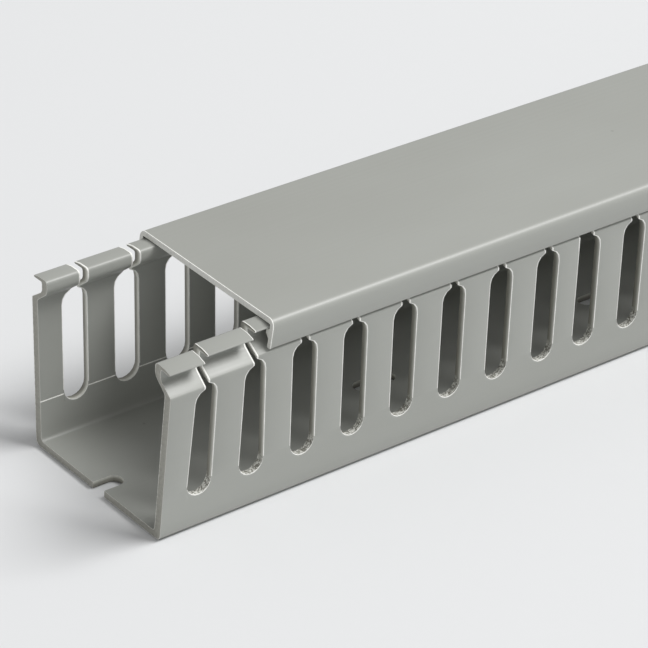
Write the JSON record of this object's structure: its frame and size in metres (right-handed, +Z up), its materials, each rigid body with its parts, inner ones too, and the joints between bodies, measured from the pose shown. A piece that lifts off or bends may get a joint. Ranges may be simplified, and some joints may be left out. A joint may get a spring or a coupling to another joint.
{
  "type": "slotted wire duct",
  "caption": "Slotted cable trunking with open finger walls, oblong fixing slots in its floor and a press-on cover that slides along the finger heads.",
  "frame": {"origin": "on the underside of the base, midway between its ends and between its walls", "axes": "+X along the duct away from the end where the cover is set back, +Y across it, +Z up from the floor to the cover"},
  "size_m": [1.0251, 0.0472, 0.0402],
  "materials": {
    "base_pvc": "satin grey rigid PVC",
    "cover_pvc": "satin grey rigid PVC"
  },
  "bodies": {
    "base": {"slotted_base": "base_pvc"},
    "cover": {"snap_cover": "cover_pvc"}
  },
  "joints": [
    {"name": "cover_slide", "type": "slide", "parent": "base", "child": "cover", "axis": [1, 0, 0], "range_m": [-0.0038, 0.9]}
  ]
}
